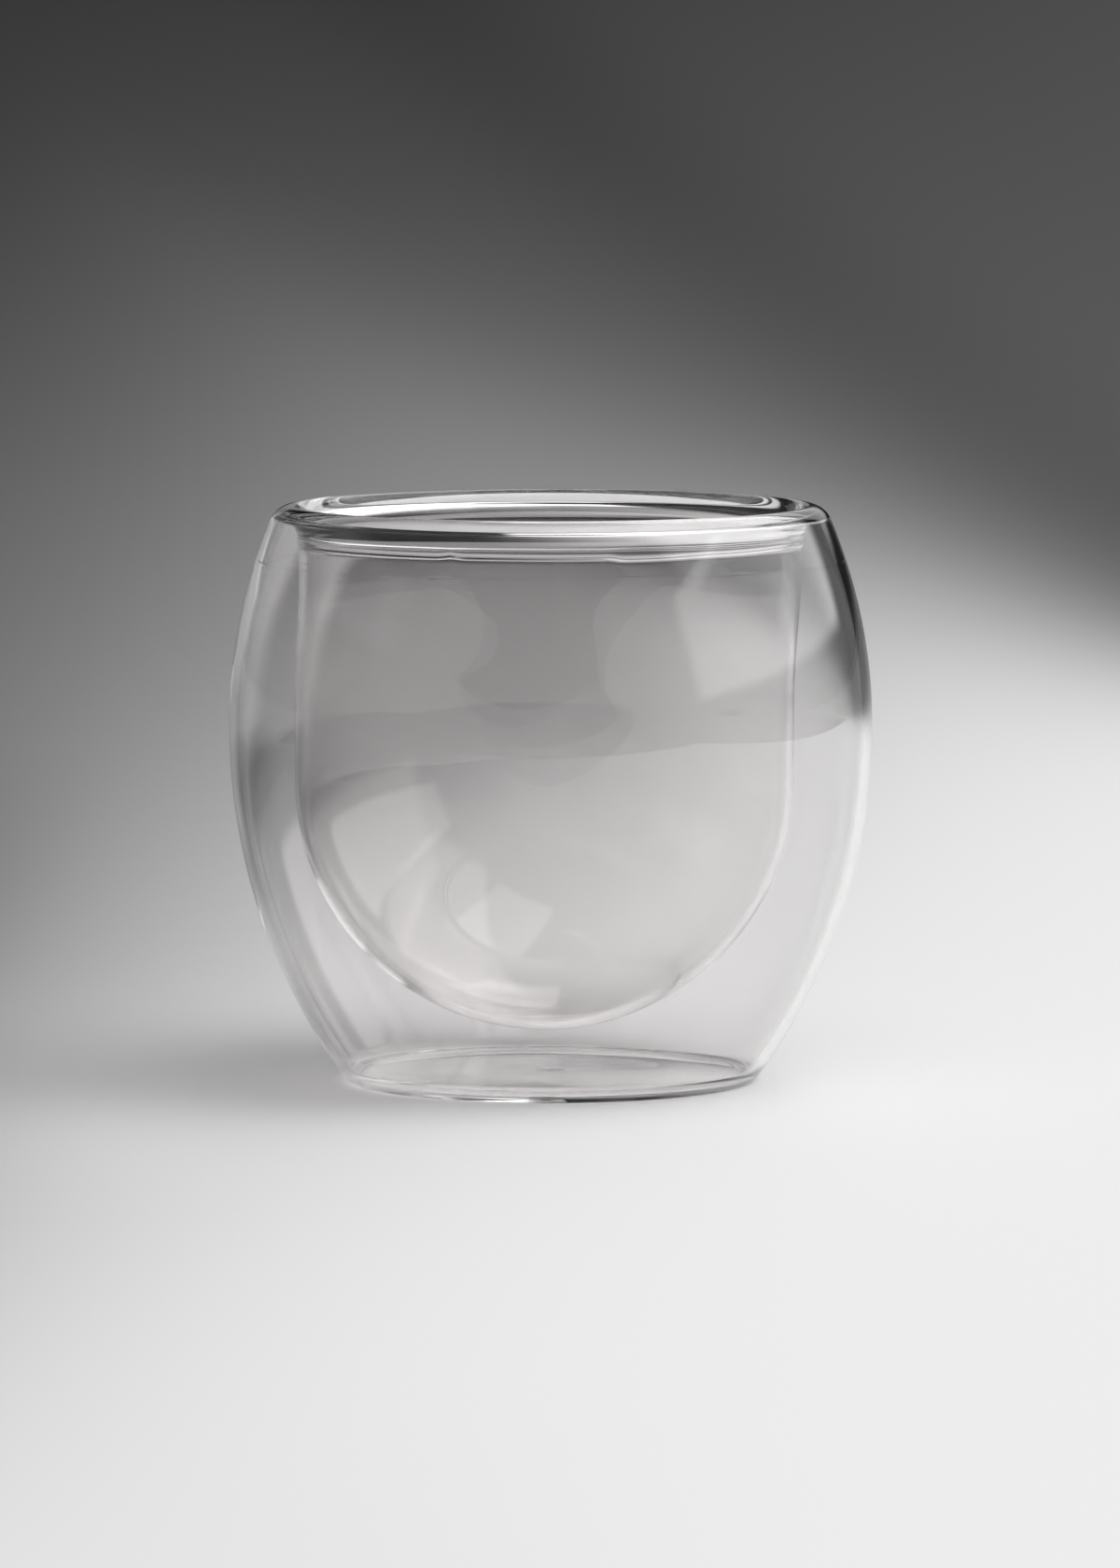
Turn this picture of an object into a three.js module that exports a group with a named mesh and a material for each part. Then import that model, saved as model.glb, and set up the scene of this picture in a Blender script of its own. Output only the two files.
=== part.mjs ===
// Double-wall shot glass: two blown walls of clear borosilicate glass with an air space between them.
// The inner bowl hangs from the lip, where both walls are fused into one rounded bead.
// Millimetres, +Z up, origin on the table at the middle of the foot.
import * as THREE from "three";

// Outside form
const height = 60; // table to the crest of the lip
const bellyRadius = 33.5; // widest part of the outer wall
const bellyHeight = 36.8; // where the outer wall is widest
const footInset = 12.3; // from the belly in to the edge of the stand ring
const footCorner = 0.3; // rounding between the outer wall and the stand ring
const standWidth = 1.5; // flat ring that touches the table
const pushUp = 0.3; // rise of the base inside its stand ring

// Glass thickness
const outerWall = 1.0;
const innerWall = 0.6;
const baseWall = 0.85;
const bowlBottom = 0.7; // at the lowest point of the bowl, where blown glass gathers a little
const heel = 2.8; // inside rounding between the base and the outer wall

// Air space
const airBeside = 6.5; // between the walls at the belly
const airBelow = 4.25; // between the base and the bowl

// Inner bowl and lip
const straightWall = 7.3; // upright part of the bowl between its round bottom and its flare
const flare = 0.1; // how far the bowl opens from its straight wall to its lip
const lipInside = 1.4; // rounding of the lip on the drinking side
const lipOutside = 2.4; // rounding of the lip on the outer side
const crestGlass = 1.4; // glass over the highest point of the air space
const roofCorner = 0.65; // rounding of that roof against the outer wall
const seamFillet = 5.1; // wide rounding by which the bowl runs up into the lip
const skirt = 1.2; // short ends of both walls below the seam, which belong to the bead

// Vent in the base, sealed by a drop of glass
const ventRadius = 1.6;
const tipDrop = 0.2; // bulge of the seal below the base
const tipRise = 0.3; // bulge of the seal into the air space

// Fineness of the faceted surfaces
const turnSteps = 48; // facets round the axis
const chordError = 0.06; // largest distance from an arc to its chords
const largestTurn = THREE.MathUtils.degToRad(20); // largest bend from one chord to the next

// Radii that follow from the sizes above
const standRadius = bellyRadius - footInset;
const ringRadius = standRadius - standWidth;
const bowlRadius = bellyRadius - outerWall - airBeside;
const boreRadius = bowlRadius - innerWall;
const crestRadius = boreRadius + lipInside + flare;

// Heights that follow from the sizes above
const bowlLow = pushUp + baseWall + airBelow;
const bowlCentre = bowlLow + bowlRadius;
const boreCentre = bowlCentre + bowlBottom - innerWall;
const flareStart = boreCentre + straightWall;

// A circle in the half plane of radius r and height z
const circle = (r, z, radius) => ({ r, z, radius });
const grown = (c, by) => circle(c.r, c.z, c.radius + by);

// Point on a circle, and the angle at which a circle's centre sees a point
const pointOn = (c, angle) =>
  new THREE.Vector2(c.r + c.radius * Math.cos(angle), c.z + c.radius * Math.sin(angle));
const angleTo = (c, p) => Math.atan2(p.z - c.z, p.r - c.r);

// Angle of the outer and of the inner flank of a circle at a height
const outerAt = (c, z) => Math.asin((z - c.z) / c.radius);
const innerAt = (c, z) => Math.PI - outerAt(c, z);

// Angle of the top of a dome at a radius
const domeAt = (c, r) => Math.acos((r - c.r) / c.radius);

// Points along a circle from one angle to another
function arc(c, from, to) {
  const chordTurn = 2 * Math.acos(1 - chordError / c.radius);
  const steps = Math.ceil(Math.abs(to - from) / Math.min(chordTurn, largestTurn));
  const points = [];
  for (let i = 0; i <= steps; i += 1) {
    points.push(pointOn(c, from + ((to - from) * i) / steps));
  }
  return points;
}

// Radius of an arc that starts upright, leans by `inset` over `rise` and ends in a rounded `corner`
function leanRadius(inset, rise, corner) {
  return (inset ** 2 + (rise - corner) ** 2 - corner ** 2) / (2 * (inset - corner));
}

// Where two circles cross, on the left of the way from the first centre to the second
function crossing(first, second) {
  const dr = second.r - first.r;
  const dz = second.z - first.z;
  const apart = Math.hypot(dr, dz);
  const along = (apart ** 2 + first.radius ** 2 - second.radius ** 2) / (2 * apart);
  const aside = Math.sqrt(first.radius ** 2 - along ** 2);
  return {
    r: first.r + (dr * along - dz * aside) / apart,
    z: first.z + (dz * along + dr * aside) / apart,
  };
}

// Outside of the outer wall: one arc below the belly and one above it
const lowerRadius = leanRadius(footInset, bellyHeight, footCorner);
const upperRadius = leanRadius(bellyRadius - crestRadius, height - bellyHeight, lipOutside);
const lowerSide = circle(bellyRadius - lowerRadius, bellyHeight, lowerRadius);
const upperSide = circle(bellyRadius - upperRadius, bellyHeight, upperRadius);
const footEdge = circle(standRadius, footCorner, footCorner);
const lowerInside = grown(lowerSide, -outerWall);
const upperInside = grown(upperSide, -outerWall);

// Base: a shallow dome from the stand ring to the vent
const domeRadius = (ringRadius ** 2 + pushUp ** 2) / (2 * pushUp);
const baseUnder = circle(0, pushUp - domeRadius, domeRadius);
const baseOver = grown(baseUnder, baseWall);
const heelCentre = crossing(grown(lowerInside, -heel), grown(baseOver, heel));
const heelArc = circle(heelCentre.r, heelCentre.z, heel);

// Inner bowl: half a sphere, an upright wall and a slight flare up to the lip
const flareRadius = leanRadius(lipInside + flare, height - flareStart, lipInside);
const boreFlare = circle(boreRadius + flareRadius, flareStart, flareRadius);
const bowlFlare = grown(boreFlare, -innerWall);
const bowlRound = circle(0, bowlCentre, bowlRadius);
const boreRound = circle(0, boreCentre, boreRadius);

// Lip: two roundings that meet at the crest
const lipOuter = circle(crestRadius, height - lipOutside, lipOutside);
const lipInner = circle(crestRadius, height - lipInside, lipInside);

// Roof of the air space: a small rounding against the outer wall and a wide one down to the bowl's seam
const roofHeight = height - crestGlass - roofCorner;
const roofReach = outerAt(grown(upperInside, -roofCorner), roofHeight);
const roofCentre = pointOn(grown(upperInside, -roofCorner), roofReach);
const roof = circle(roofCentre.x, roofHeight, roofCorner);
const seamCentre = crossing(grown(bowlFlare, -seamFillet), circle(roof.r, roof.z, seamFillet - roofCorner));
const seam = circle(seamCentre.r, seamCentre.z, seamFillet);
const weldHeight = pointOn(bowlFlare, angleTo(bowlFlare, seam)).y - skirt;

const crestAngle = Math.PI / 2;
const lowAngle = -Math.PI / 2;

// Every piece is a body of revolution, drawn anticlockwise in the half plane of radius and height
function turned(name, profile, finish) {
  const geometry = new THREE.LatheGeometry(profile, turnSteps);
  geometry.rotateX(Math.PI / 2);
  const mesh = new THREE.Mesh(geometry, new THREE.MeshStandardMaterial(finish));
  mesh.name = name;
  return mesh;
}

const closed = (profile) => [...profile, profile[0].clone()];

// Neighbouring stretches share an end point, which is kept once
function joined(...stretches) {
  const profile = [];
  for (const point of stretches.flat()) {
    const last = profile.at(-1);
    if (!last || last.distanceTo(point) > 1e-6) {
      profile.push(point);
    }
  }
  return profile;
}

function outerShell() {
  const profile = joined(
    arc(baseUnder, domeAt(baseUnder, ventRadius), domeAt(baseUnder, ringRadius)),
    arc(footEdge, lowAngle, angleTo(lowerSide, footEdge)),
    arc(lowerSide, angleTo(lowerSide, footEdge), 0),
    arc(upperSide, 0, outerAt(upperSide, weldHeight)),
    arc(upperInside, outerAt(upperInside, weldHeight), 0),
    arc(lowerInside, 0, angleTo(lowerInside, heelArc)),
    arc(heelArc, angleTo(lowerInside, heelArc), angleTo(baseOver, heelArc) - Math.PI),
    arc(baseOver, angleTo(baseOver, heelArc), domeAt(baseOver, ventRadius)),
  );
  return turned("outer_shell", closed(profile), { color: 0xe6eaea, roughness: 0.03, metalness: 0 });
}

function innerBowl() {
  const profile = joined(
    arc(bowlRound, lowAngle, 0),
    arc(bowlFlare, Math.PI, innerAt(bowlFlare, weldHeight)),
    arc(boreFlare, innerAt(boreFlare, weldHeight), Math.PI),
    arc(boreRound, 0, lowAngle),
  );
  profile.at(0).x = 0;
  profile.at(-1).x = 0;
  return turned("inner_bowl", profile, { color: 0xe9edec, roughness: 0.03, metalness: 0 });
}

function lipBead() {
  const outerTangent = angleTo(upperSide, lipOuter);
  const innerTangent = angleTo(boreFlare, lipInner);
  const profile = joined(
    arc(upperSide, outerAt(upperSide, weldHeight), outerTangent),
    arc(lipOuter, outerTangent, crestAngle),
    arc(lipInner, crestAngle, innerTangent),
    arc(boreFlare, innerTangent, innerAt(boreFlare, weldHeight)),
    arc(bowlFlare, innerAt(bowlFlare, weldHeight), angleTo(bowlFlare, seam)),
    arc(seam, angleTo(bowlFlare, seam), angleTo(seam, roof)),
    arc(roof, angleTo(seam, roof), angleTo(upperInside, roof)),
    arc(upperInside, angleTo(upperInside, roof), outerAt(upperInside, weldHeight)),
  );
  return turned("lip_bead", closed(profile), { color: 0xf0f2f1, roughness: 0.02, metalness: 0 });
}

function ventTip() {
  const underEdge = pointOn(baseUnder, domeAt(baseUnder, ventRadius));
  const overEdge = pointOn(baseOver, domeAt(baseOver, ventRadius));
  const bulgeRadius = (bulge) => (ventRadius ** 2 + bulge ** 2) / (2 * bulge);
  const drop = circle(0, underEdge.y - tipDrop + bulgeRadius(tipDrop), bulgeRadius(tipDrop));
  const rise = circle(0, overEdge.y + tipRise - bulgeRadius(tipRise), bulgeRadius(tipRise));
  const profile = joined(
    arc(drop, lowAngle, -domeAt(drop, ventRadius)),
    arc(rise, domeAt(rise, ventRadius), crestAngle),
  );
  profile.at(0).x = 0;
  profile.at(-1).x = 0;
  return turned("vent_tip", profile, { color: 0xe3e8e7, roughness: 0.05, metalness: 0 });
}

const glass = new THREE.Group();
glass.add(outerShell(), innerBowl(), lipBead(), ventTip());

export default glass;
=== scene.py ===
"""Double-wall shot glass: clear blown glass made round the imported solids, on a pale studio table."""
import math

import bpy
import numpy as np
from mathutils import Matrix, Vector


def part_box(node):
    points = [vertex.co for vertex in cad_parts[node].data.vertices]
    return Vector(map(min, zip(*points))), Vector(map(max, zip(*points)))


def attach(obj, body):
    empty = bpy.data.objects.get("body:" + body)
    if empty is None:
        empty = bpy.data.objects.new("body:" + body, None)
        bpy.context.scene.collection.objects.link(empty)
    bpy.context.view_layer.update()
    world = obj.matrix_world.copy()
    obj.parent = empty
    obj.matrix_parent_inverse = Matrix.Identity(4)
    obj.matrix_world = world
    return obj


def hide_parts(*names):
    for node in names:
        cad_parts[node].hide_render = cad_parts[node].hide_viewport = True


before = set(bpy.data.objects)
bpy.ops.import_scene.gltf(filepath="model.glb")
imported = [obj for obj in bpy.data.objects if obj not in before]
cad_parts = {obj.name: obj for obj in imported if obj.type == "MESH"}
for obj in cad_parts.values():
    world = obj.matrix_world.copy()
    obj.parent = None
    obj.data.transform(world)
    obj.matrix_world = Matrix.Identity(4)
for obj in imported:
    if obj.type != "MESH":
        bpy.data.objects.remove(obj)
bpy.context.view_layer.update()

MM = 0.001

# Points and heights closer than this are the same, in millimetres
SAME_POINT = 1e-6
SAME_HEIGHT = 0.01


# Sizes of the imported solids, in millimetres
def vertex_rings(node):
    """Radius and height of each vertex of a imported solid."""
    return [(math.hypot(v.co.x, v.co.y) / MM, v.co.z / MM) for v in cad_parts[node].data.vertices]


def radii_at(node, height):
    """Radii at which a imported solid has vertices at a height, smallest first."""
    return sorted({round(r, 2) for r, z in vertex_rings(node) if abs(z - height) < SAME_HEIGHT})


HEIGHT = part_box("lip_bead")[1].z / MM
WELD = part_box("lip_bead")[0].z / MM
BOWL_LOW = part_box("inner_bowl")[0].z / MM
TIP_LOW, TIP_HIGH = (corner.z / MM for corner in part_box("vent_tip"))
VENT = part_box("vent_tip")[1].x / MM
BELLY, BELLY_HEIGHT = max(vertex_rings("outer_shell"))
STAND_INNER, STAND = radii_at("outer_shell", 0)
CREST = radii_at("lip_bead", HEIGHT)[0]
OUTER_WALL = BELLY - radii_at("outer_shell", BELLY_HEIGHT)[0]

# Thickness and roundings that the solids share, in millimetres
INNER_WALL = 0.6
BASE_WALL = 0.85
BOWL_BOTTOM = 0.7
PUSH_UP = 0.3
FOOT_CORNER = 0.3
HEEL = 2.8
BOWL = 26.0
STRAIGHT_WALL = 7.3
LIP_INSIDE = 1.4
LIP_OUTSIDE = 2.4
CREST_GLASS = 1.4
ROOF_CORNER = 0.65
SEAM_FILLET = 5.1

BORE = BOWL - INNER_WALL
BOWL_CENTRE = BOWL_LOW + BOWL
BORE_CENTRE = BOWL_CENTRE + BOWL_BOTTOM - INNER_WALL
FLARE_START = BORE_CENTRE + STRAIGHT_WALL

# Fineness of the glass surfaces
TURN_STEPS = 256
WALL_STEPS = 16
LONGEST_STEP = 0.5
FINE_STEP = 0.06
LARGEST_TURN = math.radians(4)
SHARP_EDGE = math.radians(30)


# Outlines in the half plane of radius and height, drawn anticlockwise round the glass
class Circle:
    """A circle in the half plane, with the angles at which outlines meet it."""

    def __init__(self, r, z, radius):
        self.r, self.z, self.radius = r, z, radius

    def grown(self, by):
        return Circle(self.r, self.z, self.radius + by)

    def towards(self, other):
        return math.atan2(other.z - self.z, other.r - self.r)

    def outer_at(self, z):
        return math.asin((z - self.z) / self.radius)

    def inner_at(self, z):
        return math.pi - self.outer_at(z)

    def over_at(self, r):
        return math.acos((r - self.r) / self.radius)

    def at(self, angle):
        return self.r + self.radius * math.cos(angle), self.z + self.radius * math.sin(angle)

    def arc(self, start, end, longest=LONGEST_STEP):
        """Rows of radius, height and outward normal along the circle."""
        length = abs(end - start) * self.radius
        steps = math.ceil(max(length / longest, abs(end - start) / LARGEST_TURN, 2))
        angle = np.linspace(start, end, steps + 1)
        side = math.copysign(1, end - start)
        across, up = np.cos(angle), np.sin(angle)
        r, z = self.r + self.radius * across, self.z + self.radius * up
        return np.stack([r, z, side * across, side * up], 1)


def straight(start, end, steps=2):
    """Rows of radius, height and outward normal along a straight stretch."""
    along = np.subtract(end, start)
    points = np.add(start, np.outer(np.linspace(0, 1, steps + 1), along))
    normal = np.array([along[1], -along[0]]) / np.hypot(*along)
    return np.hstack([points, np.tile(normal, (steps + 1, 1))])


def lean_radius(inset, rise, corner):
    """Radius of an arc that starts upright, leans by inset over rise and ends in a rounded corner."""
    return (inset**2 + (rise - corner) ** 2 - corner**2) / (2 * (inset - corner))


def cap_radius(half, bulge):
    """Radius of an arc over a chord of that half length, which it leaves by bulge."""
    return (half**2 + bulge**2) / (2 * bulge)


def crossing(first, second, radius):
    """A circle of that radius where two circles cross, left of the way from the first to the second."""
    along = np.array([second.r - first.r, second.z - first.z])
    apart = np.hypot(*along)
    forward = (apart**2 + first.radius**2 - second.radius**2) / (2 * apart)
    aside = math.sqrt(first.radius**2 - forward**2)
    left = np.array([-along[1], along[0]])
    r, z = np.array([first.r, first.z]) + (along * forward + left * aside) / apart
    return Circle(r, z, radius)


lower_radius = lean_radius(BELLY - STAND, BELLY_HEIGHT, FOOT_CORNER)
upper_radius = lean_radius(BELLY - CREST, HEIGHT - BELLY_HEIGHT, LIP_OUTSIDE)
flare_radius = lean_radius(CREST - BORE, HEIGHT - FLARE_START, LIP_INSIDE)
dome_radius = cap_radius(STAND_INNER, PUSH_UP)

LOWER_SIDE = Circle(BELLY - lower_radius, BELLY_HEIGHT, lower_radius)
UPPER_SIDE = Circle(BELLY - upper_radius, BELLY_HEIGHT, upper_radius)
LOWER_INSIDE = LOWER_SIDE.grown(-OUTER_WALL)
UPPER_INSIDE = UPPER_SIDE.grown(-OUTER_WALL)
FOOT_EDGE = Circle(STAND, FOOT_CORNER, FOOT_CORNER)
BASE_UNDER = Circle(0, PUSH_UP - dome_radius, dome_radius)
BASE_OVER = BASE_UNDER.grown(BASE_WALL)
HEEL_ROUND = crossing(LOWER_INSIDE.grown(-HEEL), BASE_OVER.grown(HEEL), HEEL)
BOWL_ROUND = Circle(0, BOWL_CENTRE, BOWL)
BORE_ROUND = Circle(0, BORE_CENTRE, BORE)
BORE_FLARE = Circle(BORE + flare_radius, FLARE_START, flare_radius)
BOWL_FLARE = BORE_FLARE.grown(-INNER_WALL)
LIP_OUTER = Circle(CREST, HEIGHT - LIP_OUTSIDE, LIP_OUTSIDE)
LIP_INNER = Circle(CREST, HEIGHT - LIP_INSIDE, LIP_INSIDE)

# Roof of the air space: a small rounding at the outer wall and a wide one that ends in the bowl's seam
roof_height = HEIGHT - CREST_GLASS - ROOF_CORNER
roof_track = UPPER_INSIDE.grown(-ROOF_CORNER)
ROOF = Circle(roof_track.at(roof_track.outer_at(roof_height))[0], roof_height, ROOF_CORNER)
roof_reach = Circle(ROOF.r, ROOF.z, SEAM_FILLET - ROOF_CORNER)
SEAM = crossing(BOWL_FLARE.grown(-SEAM_FILLET), roof_reach, SEAM_FILLET)
SEAM_Z = BOWL_FLARE.at(BOWL_FLARE.towards(SEAM))[1]

DOWN, UP = -math.pi / 2, math.pi / 2


# Unevenness that the flame and the hand leave in blown glass, in millimetres
def waves(turn, z, seed, size, across, up, count=9):
    """A sum of slow waves round and up the glass: across counts round the axis, up in waves per mm."""
    draw = np.random.default_rng(seed)
    total = np.zeros(np.broadcast(turn, z).shape)
    for _ in range(count):
        round_count = draw.integers(0, across + 1)
        climb = draw.uniform(-up, up) * 2 * math.pi
        total = total + np.cos(round_count * turn + climb * z + draw.uniform(0, 2 * math.pi))
    return size * total / math.sqrt(count / 2)


def ease(x, low, high):
    """0 below low, 1 above high, and smooth between them."""
    t = np.clip((x - low) / (high - low), 0, 1)
    return t * t * (3 - 2 * t)


# Seam where the bowl was melted into the lip: a fine ridge into the air space, not quite level
RIDGE_LIFT = 0.8  # from the seam of the solids up to the ridge
RIDGE_HIGH = 0.12
RIDGE_HALF = 0.2
RIDGE_REACH = 1.1  # how far beside the ridge the glass follows it up and down
RIDGE_R, RIDGE_Z = SEAM.at(SEAM.inner_at(SEAM_Z + RIDGE_LIFT))
BOWL_SWELL = 0.14  # gathered glass, which grows up to the ridge and ends above it
SWELL_BELOW = 10
SWELL_ABOVE = 1.2

# The seam drops by a step right of the front and rises in a notch left of it, in degrees from the front
FRONT = math.radians(270)
STEP_DROP = 0.24
STEP_START, STEP_FULL, STEP_FADE, STEP_END = 12.5, 16.5, 20, 40
NOTCH_RISE = 0.16
NOTCH_AT, NOTCH_HALF = -22.5, 1.6


def seam_line(turn):
    """How far the seam lies above its true height, round the lip."""
    away = np.degrees(np.angle(np.exp(1j * (turn - FRONT))))
    step = -STEP_DROP * ease(away, STEP_START, STEP_FULL) * ease(away, STEP_END, STEP_FADE)
    notch = NOTCH_RISE * np.exp(-(((away - NOTCH_AT) / NOTCH_HALF) ** 2))
    return step + notch + waves(turn, 0, seed=11, size=0.025, across=9, up=0)


def seam_rise(turn, r, z):
    """How far the glass beside the seam stands into the air space."""
    near = np.hypot(r - RIDGE_R, z - RIDGE_Z)
    high = RIDGE_HIGH * (1 + waves(turn, 0, seed=12, size=0.06, across=14, up=0))
    gathered = np.clip((z - RIDGE_Z + SWELL_BELOW) / SWELL_BELOW, 0, 1) ** 2
    swell = BOWL_SWELL * gathered * ease(RIDGE_Z + SWELL_ABOVE - z, 0, SWELL_ABOVE)
    return high * np.exp(-((near / RIDGE_HALF) ** 2)) + swell


SUNK = 0.011  # the outside lies this far inside the solid, so that no wave stands out of it


def uneven(skin, turn, r, z):
    """How far a skin of the glass stands proud of its true outline, easing to nothing at its ends."""
    if skin == "outside":
        wave = waves(turn, z, seed=1, size=0.005, across=4, up=0.05) - SUNK
        return np.minimum(wave, 0) * ease(z, 1, 8) * ease(HEIGHT - z, 0.5, 6)
    if skin == "bore":
        wave = waves(turn, z, seed=2, size=0.008, across=5, up=0.06)
        return wave * ease(HEIGHT - z, 0.5, 6) * ease(r, 0, 12)
    if skin == "gap_shell":
        wave = waves(turn, z, seed=3, size=0.006, across=4, up=0.05)
        return wave * ease(z, 3, 9) * ease(SEAM_Z - z, 0, 5)
    if skin == "gap_bowl":
        wave = waves(turn, z, seed=4, size=0.008, across=5, up=0.06)
        return wave * ease(SEAM_Z - z, 0, 5) * ease(r, 0, 12) + seam_rise(turn, r, z)
    if skin == "base":
        wave = waves(turn, r, seed=5, size=0.01, across=3, up=0.08)
        return wave * ease(r, VENT, 8) * ease(STAND_INNER - r, 0, 3)
    return np.zeros(np.broadcast(turn, z).shape)


BOWL_ASIDE = -0.65  # the bowl hangs a little to one side
LEAN_HEIGHT = 14  # below its weld, over which it leans there


def joined(outline):
    """One row for each point of an outline, its skin, and for each step between rows if it is a weld."""
    rows = []
    skins = []
    welded = []
    for skin, stretch in outline:
        for row in stretch:
            if rows and np.hypot(*(row[:2] - rows[-1][:2])) < SAME_POINT:
                # A weld's last point belongs to the skin that goes on from there
                if skins[-1] == "weld":
                    rows[-1], skins[-1] = row, skin
                continue
            rows.append(row)
            skins.append(skin)
            welded.append(skin == "weld")
    return np.array(rows), skins, welded[1:]


def ring(row, skin, turn, aside):
    """Points round the axis for one row of an outline, uneven as its skin is."""
    r, z, across, up = row
    proud = uneven(skin, turn, r, z)
    ring_r = r + across * proud
    ring_z = z + up * proud
    if skin == "gap_bowl":
        ring_z = ring_z + seam_line(turn) * ease(abs(z - RIDGE_Z), RIDGE_REACH, 0)
    shift = aside * ease(WELD - ring_z, 0, LEAN_HEIGHT)
    return np.stack([ring_r * np.cos(turn) + shift, ring_r * np.sin(turn), ring_z], 1)


def revolve(name, outline, glass, weld, aside=0):
    """A closed body of revolution from stretches of skin and rows. Weld skins take the weld material."""
    rows, skins, welded = joined(outline)
    if np.hypot(*(rows[0, :2] - rows[-1, :2])) < SAME_POINT:
        rows, skins = rows[:-1], skins[:-1]
    turn = np.arange(TURN_STEPS) * 2 * math.pi / TURN_STEPS
    vertices = []
    rings = []
    for row, skin in zip(rows, skins):
        points = ring(row, skin, turn, aside)
        start = len(vertices)
        if row[0] < SAME_POINT:
            vertices.append(points[0])
            rings.append([start] * TURN_STEPS)
        else:
            vertices.extend(points)
            rings.append(list(range(start, start + TURN_STEPS)))
    faces = []
    slots = []
    for j, is_weld in enumerate(welded):
        low, high = rings[j], rings[(j + 1) % len(rings)]
        for i in range(TURN_STEPS):
            k = (i + 1) % TURN_STEPS
            # On the axis two corners are one, which is kept once
            faces.append(tuple(dict.fromkeys((low[i], low[k], high[k], high[i]))))
            slots.append(int(is_weld))
    mesh = bpy.data.meshes.new(name)
    mesh.from_pydata([Vector(v) * MM for v in vertices], [], faces)
    mesh.materials.append(glass)
    mesh.materials.append(weld)
    mesh.polygons.foreach_set("material_index", slots)
    mesh.shade_smooth()
    mesh.set_sharp_from_angle(angle=SHARP_EDGE)
    piece = bpy.data.objects.new(name, mesh)
    bpy.context.scene.collection.objects.link(piece)
    return piece


# Weld faces, where two pieces were melted together
weld_outer = straight(UPPER_SIDE.at(UPPER_SIDE.outer_at(WELD)), UPPER_INSIDE.at(UPPER_INSIDE.outer_at(WELD)))
weld_inner = straight(BOWL_FLARE.at(BOWL_FLARE.inner_at(WELD)), BORE_FLARE.at(BORE_FLARE.inner_at(WELD)))
vent_low = BASE_UNDER.at(BASE_UNDER.over_at(VENT))[1]
vent_high = BASE_OVER.at(BASE_OVER.over_at(VENT))[1]
weld_vent = straight((VENT, vent_low), (VENT, vent_high))


def outer_wall(glass, weld):
    """The outer wall with its foot and its base, from the vent round to the vent."""
    foot_turn = LOWER_SIDE.towards(FOOT_EDGE)
    heel_wall = LOWER_INSIDE.towards(HEEL_ROUND)
    heel_base = BASE_OVER.towards(HEEL_ROUND)
    outline = [
        ("base", BASE_UNDER.arc(BASE_UNDER.over_at(VENT), BASE_UNDER.over_at(STAND_INNER))),
        ("stand", straight((STAND_INNER, 0), (STAND, 0))),
        ("outside", FOOT_EDGE.arc(DOWN, foot_turn)),
        ("outside", LOWER_SIDE.arc(foot_turn, 0)),
        ("outside", UPPER_SIDE.arc(0, UPPER_SIDE.outer_at(WELD))),
        ("weld", weld_outer),
        ("gap_shell", UPPER_INSIDE.arc(UPPER_INSIDE.outer_at(WELD), 0)),
        ("gap_shell", LOWER_INSIDE.arc(0, heel_wall)),
        ("heel", HEEL_ROUND.arc(heel_wall, heel_base - math.pi)),
        ("base", BASE_OVER.arc(heel_base, BASE_OVER.over_at(VENT))),
        ("weld", weld_vent[::-1]),
    ]
    return revolve("blown_outer_wall", outline, glass, weld)


def inner_bowl(glass, weld):
    """The bowl, from its bottom up the air space to the lip and down the drinking side."""
    outline = [
        ("gap_bowl", BOWL_ROUND.arc(DOWN, 0)),
        ("gap_bowl", straight((BOWL, BOWL_CENTRE), (BOWL, FLARE_START), WALL_STEPS)),
        ("gap_bowl", BOWL_FLARE.arc(math.pi, BOWL_FLARE.inner_at(WELD))),
        ("weld", weld_inner),
        ("bore", BORE_FLARE.arc(BORE_FLARE.inner_at(WELD), math.pi)),
        ("bore", straight((BORE, FLARE_START), (BORE, BORE_CENTRE), WALL_STEPS)),
        ("bore", BORE_ROUND.arc(0, DOWN)),
    ]
    return revolve("blown_inner_bowl", outline, glass, weld, BOWL_ASIDE)


def fused_lip(glass, weld):
    """The lip, over its crest, down to the bowl and back under the roof of the air space."""
    outer_turn = UPPER_SIDE.towards(LIP_OUTER)
    inner_turn = BORE_FLARE.towards(LIP_INNER)
    seam_turn = BOWL_FLARE.towards(SEAM)
    roof_turn = SEAM.towards(ROOF)
    roof_outer = UPPER_INSIDE.towards(ROOF)
    outline = [
        ("outside", UPPER_SIDE.arc(UPPER_SIDE.outer_at(WELD), outer_turn)),
        ("outside", LIP_OUTER.arc(outer_turn, UP)),
        ("bore", LIP_INNER.arc(UP, inner_turn)),
        ("bore", BORE_FLARE.arc(inner_turn, BORE_FLARE.inner_at(WELD))),
        ("weld", weld_inner[::-1]),
        ("gap_bowl", BOWL_FLARE.arc(BOWL_FLARE.inner_at(WELD), seam_turn, FINE_STEP)),
        ("gap_bowl", SEAM.arc(seam_turn, roof_turn, FINE_STEP)),
        ("roof", ROOF.arc(roof_turn, roof_outer)),
        ("gap_shell", UPPER_INSIDE.arc(roof_outer, UPPER_INSIDE.outer_at(WELD))),
        ("weld", weld_outer[::-1]),
    ]
    return revolve("fused_lip", outline, glass, weld)


VENT_BULGE = 0.2  # share of the solid's bulge that is drawn


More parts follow.
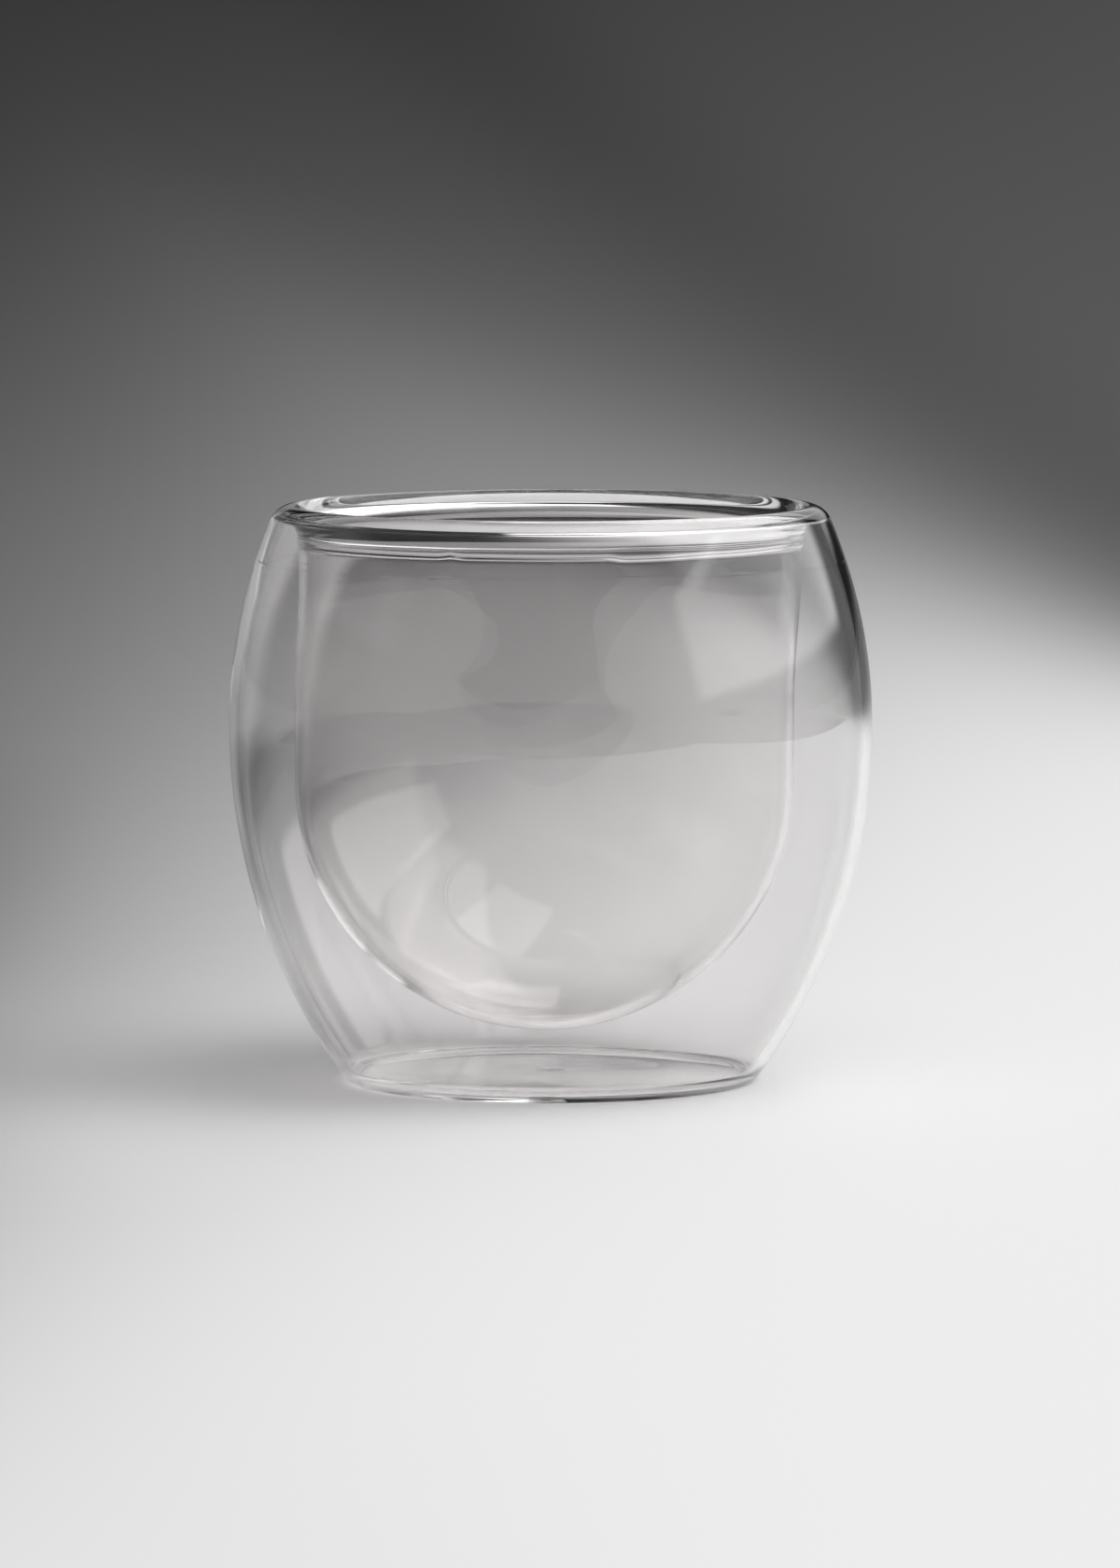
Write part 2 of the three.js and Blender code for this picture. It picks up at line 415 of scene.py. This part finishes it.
def sealed_vent(glass, weld):
    """The drop of glass in the vent, which bulges a little on both sides."""
    drop =(vent_low - TIP_LOW) * VENT_BULGE
    rise = (TIP_HIGH - vent_high) * VENT_BULGE
    drop_radius = cap_radius(VENT, drop)
    rise_radius = cap_radius(VENT, rise)
    under = Circle(0, vent_low - drop + drop_radius, drop_radius)
    over = Circle(0, vent_high + rise - rise_radius, rise_radius)
    outline = [
        ("tip", under.arc(DOWN, -under.over_at(VENT))),
        ("weld", weld_vent),
        ("tip", over.arc(over.over_at(VENT), UP)),
    ]
    return revolve("sealed_vent", outline, glass, weld)


# Materials
def linear(code):
    """An sRGB hex colour as linear red, green, blue and alpha."""
    parts = [int(code[i : i + 2], 16) / 255 for i in (1, 3, 5)]
    return [p / 12.92 if p <= 0.04045 else ((p + 0.055) / 1.055) ** 2.4 for p in parts] + [1]


def add(tree, kind, inputs=(), output=0, stops=(), **settings):
    """Adds a node with its settings and inputs, and gives one of its outputs.

    Inputs go by place or by name, each a socket to link, a colour in hex or a plain value.
    Stops are the positions and hex colours of a colour ramp.
    """
    node = tree.nodes.new("ShaderNode" + kind)
    for name, value in settings.items():
        setattr(node, name, value)
    for name, value in inputs.items() if isinstance(inputs, dict) else enumerate(inputs):
        if isinstance(value, bpy.types.NodeSocket):
            tree.links.new(value, node.inputs[name])
        else:
            node.inputs[name].default_value = linear(value) if isinstance(value, str) else value
    if stops:
        points = node.color_ramp.elements
        while len(points) < len(stops):
            points.new(0.5)
        for point, (position, code) in zip(points, stops):
            point.position = position
            point.color = linear(code)
    return node.outputs[output] if node.outputs else None


def blank(name):
    """A new material without nodes."""
    material = bpy.data.materials.new(name)
    material.use_nodes = True
    material.node_tree.nodes.clear()
    return material


GLASS_IOR = 1.473
WIPE_MARK = 6.25 * MM  # length of the marks that a cloth leaves
CORD_SPACING = 9.0909 * MM  # cords are the streaks that blowing draws out in the glass
CORD_HEIGHT = 0.006 * MM


def borosilicate(name, tint):
    """Blown borosilicate glass: clear and fire polished, so it mirrors and bends light sharply."""
    material = blank(name)
    tree = material.node_tree
    place = add(tree, "TexCoord", (), "Object")
    # Faint wipe marks soften the gloss a little here and there
    marks = add(tree, "TexNoise", {"Vector": place, "Scale": 1 / WIPE_MARK, "Detail": 2.0})
    gloss = add(tree, "MapRange", {"Value": marks, "From Min": 0.55, "From Max": 0.8, "To Max": 0.012})
    # Cords make lines seen through the glass waver
    cords = add(tree, "TexNoise", {"Vector": place, "Scale": 1 / CORD_SPACING, "Detail": 0.0})
    waver = add(tree, "Bump", {"Height": cords, "Strength": 0.5, "Distance": CORD_HEIGHT})
    shader = add(tree, "BsdfPrincipled", {
        "Base Color": tint, "IOR": GLASS_IOR, "Transmission Weight": 1.0,
        "Roughness": gloss, "Normal": waver})
    add(tree, "OutputMaterial", {"Surface": shader})
    return material


def melted_weld():
    """Glass melted into glass: light goes straight on, so the eye sees no weld."""
    material = blank("melted weld")
    tree = material.node_tree
    shader = add(tree, "BsdfPrincipled", {
        "Base Color": "#ffffff", "Roughness": 0.0, "IOR": 1.0, "Transmission Weight": 1.0})
    add(tree, "OutputMaterial", {"Surface": shader})
    return material


weld = melted_weld()
for make, node, slot, tint in (
    (outer_wall, "outer_shell", "outer_wall_glass", "#fdfcfc"),
    (inner_bowl, "inner_bowl", "inner_wall_glass", "#fdfcfc"),
    (fused_lip, "lip_bead", "fused_lip_glass", "#fefdfd"),
    (sealed_vent, "vent_tip", "sealed_tip_glass", "#fdfcfc"),
):
    piece = make(borosilicate(slot.replace("_", " "), tint), weld)
    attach(piece, "root")
    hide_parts(node)


# Camera, as in the photograph: a long lens about a metre away, a little above the glass
IMAGE_WIDTH, IMAGE_HEIGHT = 1200, 1680
DISTANCE = 1.0
PITCH = math.radians(5.25)
CAMERA_BACK = DISTANCE * math.cos(PITCH)
TARGET_HEIGHT = 30.85 * MM
AXIS_LEFT = 0.95 * MM
SENSOR = 36
PIXELS_PER_MM = 10.284
LENS = PIXELS_PER_MM / MM * DISTANCE * SENSOR / IMAGE_HEIGHT

camera_data = bpy.data.cameras.new("camera")
camera_data.sensor_width = SENSOR
camera_data.lens = LENS
camera = bpy.data.objects.new("camera", camera_data)
camera.location = (AXIS_LEFT, -CAMERA_BACK, TARGET_HEIGHT + DISTANCE * math.sin(PITCH))
camera.rotation_euler = (math.pi / 2 - PITCH, 0, 0)
bpy.context.scene.collection.objects.link(camera)
bpy.context.scene.camera = camera


# Studio: a pale table top with painted shade that darkens it away from the glass, in a dark room with soft
# lamps
TABLE_EDGE = ((-4, -0.4), (0.54, -0.4), (0.54, 0.45), (4, 0.9), (4, 12), (-4, 12))
TABLE_DROP = -0.05 * MM  # just clear of the foot
FIBRE = 1.1111 * MM  # length of the paper's fibres

# A point of the table shows in the picture at ACROSS x / far, and at ROW / far - ROW_START down it,
# each from -1 to 1, where far is its distance along the table from below the camera
ACROSS = 2 * PIXELS_PER_MM / MM * DISTANCE / IMAGE_WIDTH
ROW, ROW_START = 1.4984, 1.125
LEFT_MOST, RIGHT_MOST, LOWEST = -1.2, 1.4, 1.1

# Painted fall of light on the table, drawn into its colour. Each sum has weights for across, down and across
# squared, and a number.
FAR_EDGE = (-0.371, 1.0, 0.067), 0.494  # where the dark far field ends
FAR_EDGE_WIDTH = (0.234, 0.0, -0.757), -1.803  # as a logarithm
LEFT_SHADE = (1.0, 1.185, 0.0), 0.531  # where the shade on the left ends
LEFT_SHADE_WIDTH = (0.0, -0.41, 0.0), -0.08  # as a logarithm
SHADE_DEPTH = 1.112
TROUGH = (-0.571, 1.0, 0.067), 0.494 + 0.36  # the far field is darkest just beyond its edge
TROUGH_WIDTH, TROUGH_DEPTH = 0.15, 0.035
FAR_GREY = (0.0, 0.22, 0.0), 0.432
FAR_TOP = (0.0, -1.6, 0.0), -0.6  # the top of the picture, which is lighter on the right
TOP_SLANT = 0.045
NEAR_GREY = 0.939

# Painted soft shades on the table, and one painted paler strip where the depth is below 0: middle and width,
# across and down the picture, and depth
PAINTED_SHADES = (
    ((0.03, -0.15), (0.4, 0.27), 0.33),  # behind the glass
    ((-0.6, 1.1), (0.8, 0.35), 0.06),  # in front of it
    ((-1.1, 0.12), (0.25, 0.2), 0.12),  # on the left
    ((-0.85, 0.43), (0.3, 0.09), -0.13),  # a paler strip below that
)
# A painted shadow round the foot of the glass
PAINTED_FOOT_SHADOW = (-0.01, 0.015), (0.034, 0.04), 0.43  # round the foot, in metres


def weighed(tree, terms, total):
    """A sum of three terms, each times its weight, and a number."""
    weights, number = total
    product = add(tree, "VectorMath", (terms, weights), "Value", operation="DOT_PRODUCT")
    return add(tree, "Math", (product, number), operation="ADD")


def soft_step(tree, value, log_width):
    """A soft step from 0 to 1 where a value passes 0, with its width given as a logarithm."""
    width = add(tree, "Math", (log_width,), operation="EXPONENT")
    slope = add(tree, "Math", (value, width), operation="DIVIDE")
    turn = add(tree, "Math", (slope,), operation="TANH")
    return add(tree, "Math", (turn, 0.5, 0.5), operation="MULTIPLY_ADD")


def pool(tree, spot, middle, width):
    """A soft round patch on one or two axes, 1 in the middle and 0 some widths from there."""
    unused = [0.0] * (3 - len(middle))
    scale = [1 / w for w in width] + unused
    shift = [-m / w for m, w in zip(middle, width)] + unused
    off = add(tree, "VectorMath", (spot, scale, shift), operation="MULTIPLY_ADD")
    apart = add(tree, "VectorMath", (off, off), "Value", operation="DOT_PRODUCT")
    return add(tree, "Math", (1 / math.e, apart), operation="POWER")


def shaded(tree, level, spot, middle, width, depth):
    """A level under a painted soft shade of that depth."""
    patch = pool(tree, spot, middle, width)
    left = add(tree, "Math", (patch, -depth, 1.0), operation="MULTIPLY_ADD")
    return add(tree, "Math", (level, left), operation="MULTIPLY")


def painted_fall_of_light(tree, place, side, down):
    """The painted fall of light on the table, as a linear level: little far away and on the left, most in
    front, with painted shades on it.
    """
    square = add(tree, "Math", (side, side), operation="MULTIPLY")
    terms = add(tree, "CombineXYZ", (side, down, square))
    edge = soft_step(tree, weighed(tree, terms, FAR_EDGE), weighed(tree, terms, FAR_EDGE_WIDTH))
    shade = soft_step(tree, weighed(tree, terms, LEFT_SHADE), weighed(tree, terms, LEFT_SHADE_WIDTH))
    shade = add(tree, "Math", (shade, SHADE_DEPTH, 1 - SHADE_DEPTH), operation="MULTIPLY_ADD")
    near = add(tree, "Math", (edge, shade), operation="MULTIPLY")
    top = add(tree, "Clamp", {"Value": weighed(tree, terms, FAR_TOP)})
    slant = add(tree, "Math", (side, TOP_SLANT), operation="MULTIPLY")
    dim = add(tree, "Math", (top, slant, weighed(tree, terms, FAR_GREY)), operation="MULTIPLY_ADD")
    trough = pool(tree, weighed(tree, terms, TROUGH), (0.0,), (TROUGH_WIDTH,))
    dim = add(tree, "Math", (trough, -TROUGH_DEPTH, dim), operation="MULTIPLY_ADD")
    contrast = add(tree, "Math", (NEAR_GREY, dim), operation="SUBTRACT")
    grey = add(tree, "Math", (near, contrast, dim), operation="MULTIPLY_ADD")
    # From an sRGB grey to linear light, as linear() does
    scaled = add(tree, "Math", (grey, 1 / 1.055, 0.055 / 1.055), operation="MULTIPLY_ADD")
    level = add(tree, "Math", (scaled, 2.4), operation="POWER")
    for middle, width, depth in PAINTED_SHADES:
        level = shaded(tree, level, terms, middle, width, depth)
    return shaded(tree, level, place, *PAINTED_FOOT_SHADOW)


def outside_picture(tree, tone, x, y, aside):
    """Painted light outside the picture: left of it the far table is painted paler again, and the near table
    is painted darker until it falls off into the dark.
    """
    # A colour ramp reads from 0 to 1, so places are first moved or scaled to lie there
    past = add(tree, "Math", (aside, -0.5), operation="MULTIPLY")
    outside = add(tree, "ValToRGB", (past,), stops=((0.5, "#000000"), (0.65, "#ffffff")))
    left = add(tree, "Math", (x, -1.0), operation="MULTIPLY")
    angle = add(tree, "Math", (left, y), operation="ARCTAN2")
    behind = add(tree, "ValToRGB", (angle,), stops=((0.45, "#ffffff"), (0.65, "#000000")))
    painted_pale_streak = add(tree, "Math", (outside, behind), operation="MULTIPLY")
    # Painted light: the far table left of the picture is painted a paler grey
    paler = add(tree, "ValToRGB", (y,), stops=(
        (0.2, "#b4b4b4"), (0.33, "#9c9c9c"), (0.6, "#969696"), (1.0, "#a8a8a8")))
    tone = add(tree, "Mix", {0: painted_pale_streak, 6: tone, 7: paler}, 2, data_type="RGBA")
    # Painted shade: the near table is painted darker towards the left
    across = add(tree, "Math", (x, 0.6), operation="ADD")
    painted_falloff = add(tree, "ValToRGB", (across,), stops=(
        (0.1, "#404040"), (0.35, "#606060"), (0.47, "#c0c0c0"), (0.54, "#ffffff")))
    back = add(tree, "Math", (y, 0.5), operation="ADD")
    close = add(tree, "ValToRGB", (back,), stops=((0.7, "#ffffff"), (0.9, "#000000")))
    return add(tree, "Mix", {0: close, 6: tone, 7: painted_falloff}, 2, data_type="RGBA", blend_type="MULTIPLY")


def matt_paper():
    """Matt paper: a soft grain and hardly any gloss, with the fall of light drawn into it."""
    material = blank("matt paper")
    tree = material.node_tree
    place = add(tree, "NewGeometry", (), "Position")
    x = add(tree, "SeparateXYZ", (place,), "X")
    y = add(tree, "SeparateXYZ", (place,), "Y")
    far = add(tree, "Math", (y, CAMERA_BACK), operation="ADD")
    scaled = add(tree, "Math", (x, ACROSS), operation="MULTIPLY")
    aside = add(tree, "Math", (scaled, far), operation="DIVIDE")
    side = add(tree, "Clamp", {"Value": aside, "Min": LEFT_MOST, "Max": RIGHT_MOST})
    row = add(tree, "Math", (ROW, far), operation="DIVIDE")
    down = add(tree, "Math", (row, ROW_START), operation="SUBTRACT")
    down = add(tree, "Math", (down, LOWEST), operation="MINIMUM")
    tone = outside_picture(tree, painted_fall_of_light(tree, place, side, down), x, y, aside)
    # Painted light under the glass, which gathers the light: the paper is painted pale again there
    reach = add(tree, "VectorMath", (place,), "Value", operation="LENGTH")
    share = add(tree, "Math", (reach, 10.0), operation="MULTIPLY")
    under = add(tree, "ValToRGB", (share,), stops=((0.17, "#ffffff"), (0.23, "#000000")))
    tone = add(tree, "Mix", {0: under, 6: tone, 7: "#ebebeb"}, 2, data_type="RGBA")
    fibres = add(tree, "TexNoise", {"Vector": place, "Scale": 1 / FIBRE, "Detail": 3.0})
    tooth = add(tree, "Bump", {"Height": fibres, "Strength": 0.05, "Distance": 0.05 * MM})
    shader = add(tree, "BsdfPrincipled", {
        "Base Color": tone, "Roughness": 0.9, "Specular IOR Level": 0.1, "Normal": tooth})
    add(tree, "OutputMaterial", {"Surface": shader})
    return material


def table_top():
    """A flat sheet that ends outside the picture. Its right and front edges show in the glass."""
    mesh = bpy.data.meshes.new("table")
    mesh.from_pydata([(x, y, TABLE_DROP) for x, y in TABLE_EDGE], [], [tuple(range(len(TABLE_EDGE)))])
    mesh.materials.append(matt_paper())
    table = bpy.data.objects.new("table", mesh)
    bpy.context.scene.collection.objects.link(table)


LAMP_DISTANCE = 25
ROOM_LIGHT = 0.085
ROOM_FRONT = 0.8  # how much more of it comes from the front than from the sides
KEY_LIGHT = 2.7
KEY_AZIMUTH = -5
KEY_ELEVATION = 64
KEY_FOCUS = 10.0


def bearing(azimuth, elevation):
    """The way out from the glass at an azimuth and an elevation, in degrees."""
    turn, rise = math.radians(azimuth), math.radians(elevation)
    return Vector((math.cos(turn) * math.cos(rise), math.sin(turn) * math.cos(rise), math.sin(rise)))


def soften(data, share):
    """Lets a lamp fade over a share of its width and height at each edge, as cloth in front of it does."""
    data.use_nodes = True
    tree = data.node_tree
    place = add(tree, "NewGeometry", (), "Parametric")
    level = 1.0
    for axis in ("X", "Y"):
        along = add(tree, "SeparateXYZ", (place,), axis)
        back = add(tree, "Math", (1.0, along), operation="SUBTRACT")
        rim = add(tree, "Math", (along, back), operation="MINIMUM")
        fade = add(tree, "MapRange", {"Value": rim, "From Max": share}, interpolation_type="SMOOTHSTEP")
        level = add(tree, "Math", (level, fade), operation="MULTIPLY")
    tree.links.new(level, tree.nodes["Emission"].inputs["Strength"])


def softbox(name, azimuth, elevation, radiance, fade=0.25):
    """A soft lamp that covers a range of azimuth and elevation, in degrees, seen from the glass."""
    rise = math.radians(sum(elevation) / 2)
    half_turn = math.radians(azimuth[1] - azimuth[0]) / 2
    half_rise = math.radians(elevation[1] - elevation[0]) / 2
    out = bearing(sum(azimuth) / 2, sum(elevation) / 2)
    data = bpy.data.lights.new(name, "AREA")
    data.shape = "RECTANGLE"
    data.size = 2 * LAMP_DISTANCE * math.tan(half_turn) * math.cos(rise)
    data.size_y = 2 * LAMP_DISTANCE * math.tan(half_rise)
    data.energy = radiance * data.size * data.size_y * math.pi
    soften(data, fade)
    lamp = bpy.data.objects.new(name, data)
    lamp.location = out * LAMP_DISTANCE
    lamp.rotation_euler = (-out).to_track_quat("-Z", "Y").to_euler()
    lamp.visible_camera = False
    bpy.context.scene.collection.objects.link(lamp)


def room():
    """Even soft light on whatever is matt, and a dark room in what the glass mirrors and bends."""
    world = bpy.data.worlds.new("room")
    bpy.context.scene.world = world
    world.use_nodes = True
    tree = world.node_tree
    tree.nodes.clear()
    seen = 0.0
    for ray in ("Is Camera Ray", "Is Glossy Ray", "Is Transmission Ray"):
        seen = add(tree, "Math", (add(tree, "LightPath", (), ray), seen), operation="MAXIMUM")
    scattered = add(tree, "LightPath", (), "Diffuse Depth")
    first = add(tree, "Math", (scattered, 0.5), operation="LESS_THAN")
    seen = add(tree, "Math", (seen, first), operation="MULTIPLY")
    # Plain light all round, and more of it from above on the right
    here = add(tree, "TexCoord", (), "Generated")
    key = bearing(KEY_AZIMUTH, KEY_ELEVATION)
    towards = add(tree, "VectorMath", (here, key), "Value", operation="DOT_PRODUCT")
    facing = add(tree, "Math", (towards, 0.0), operation="MAXIMUM")
    lobe = add(tree, "Math", (facing, KEY_FOCUS), operation="POWER")
    depth = add(tree, "SeparateXYZ", (here,), "Y")
    plain = add(tree, "Math", (depth, -ROOM_FRONT * ROOM_LIGHT, ROOM_LIGHT), operation="MULTIPLY_ADD")
    level = add(tree, "Math", (lobe, KEY_LIGHT, plain), operation="MULTIPLY_ADD")
    light = add(tree, "Background", {"Color": "#ffffff", "Strength": level})
    dark = add(tree, "Background", {"Color": "#202020", "Strength": 1.0})
    add(tree, "OutputWorld", {"Surface": add(tree, "MixShader", (seen, light, dark))})


table_top()
room()

# Lamps that the glass mirrors and bends. Azimuth is 0 on the right, 90 behind the glass and 180 on the left.
softbox("upper right", (-42, 76), (31, 73), 1.3, 0.12)
softbox("overhead", (-75, 35), (58, 88), 1.1, 0.1)
softbox("right window", (-40, 51), (5, 35), 1.4, 0.1)
softbox("high back", (70, 94), (27, 54), 1.15, 0.06)
softbox("back panel", (59, 92.4), (4, 39), 0.72, 0.15)
softbox("low strip", (88, 106), (2, 11), 0.26, 0.1)
softbox("far wall", (97, 122), (-1, 4), 0.4, 0.1)
softbox("left wall", (99, 122), (2, 18), 0.22, 0.15)
softbox("left card", (158, 216), (12, 31), 0.33)

# Light passes many faces of glass before it reaches the eye
GLASS_BOUNCES = 96

scene = bpy.context.scene
scene.view_settings.view_transform = "Standard"
scene.cycles.max_bounces = GLASS_BOUNCES
scene.cycles.transmission_bounces = GLASS_BOUNCES
scene.cycles.glossy_bounces = GLASS_BOUNCES
scene.cycles.blur_glossy = 0
